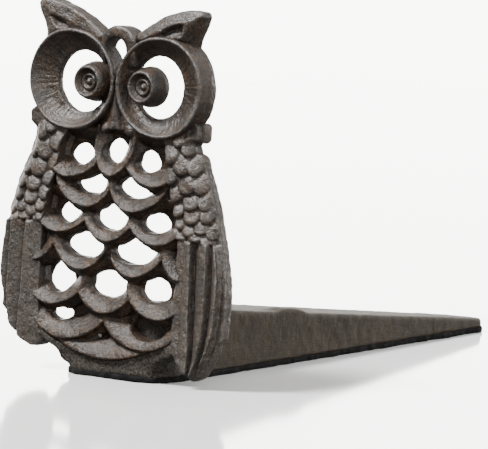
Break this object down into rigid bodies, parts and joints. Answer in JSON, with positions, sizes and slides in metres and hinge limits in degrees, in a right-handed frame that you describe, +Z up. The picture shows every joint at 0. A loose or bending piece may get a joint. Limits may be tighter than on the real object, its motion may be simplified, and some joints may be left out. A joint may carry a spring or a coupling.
{
  "type": "door stop",
  "caption": "Cast-iron door stop: an openwork owl with ring eyes, folded wings and scale fretwork stands on the thick end of a long tapered wedge with a thin soft pad below.",
  "frame": {"origin": "on the floor under the middle of the whole object's box", "axes": "+Z up; the owl faces -Y; the wedge tapers away towards +Y; +X is the side to the right of someone facing the owl"},
  "size_m": [0.0684, 0.1724, 0.093],
  "materials": {
    "cast_iron": "dark brown sand-cast iron, fine grain, paler grey on worn crests, reddish in the hollows",
    "cast_iron_worn": "the same iron on the wings, rubbed paler on the feather crests",
    "cast_iron_wedge": "olive-brown sand-cast iron, matt, darker towards the floor",
    "steel": "blackened steel, hidden inside the wedge",
    "pad": "black soft foam rubber, matt, slightly ragged edge"
  },
  "bodies": {
    "root": {"eye_ring_right": "cast_iron", "eye_ring_left": "cast_iron", "pupil_right": "cast_iron", "pupil_left": "cast_iron", "ear_right": "cast_iron", "ear_left": "cast_iron", "hanging_loop": "cast_iron", "beak": "cast_iron", "wing_right": "cast_iron_worn", "wing_left": "cast_iron_worn", "breast_fretwork": "cast_iron", "wedge": "cast_iron_wedge", "base_pad": "pad", "fixing_screw_right": "steel", "fixing_screw_left": "steel", "spring_washer_right": "steel", "spring_washer_left": "steel"}
  },
  "joints": []
}
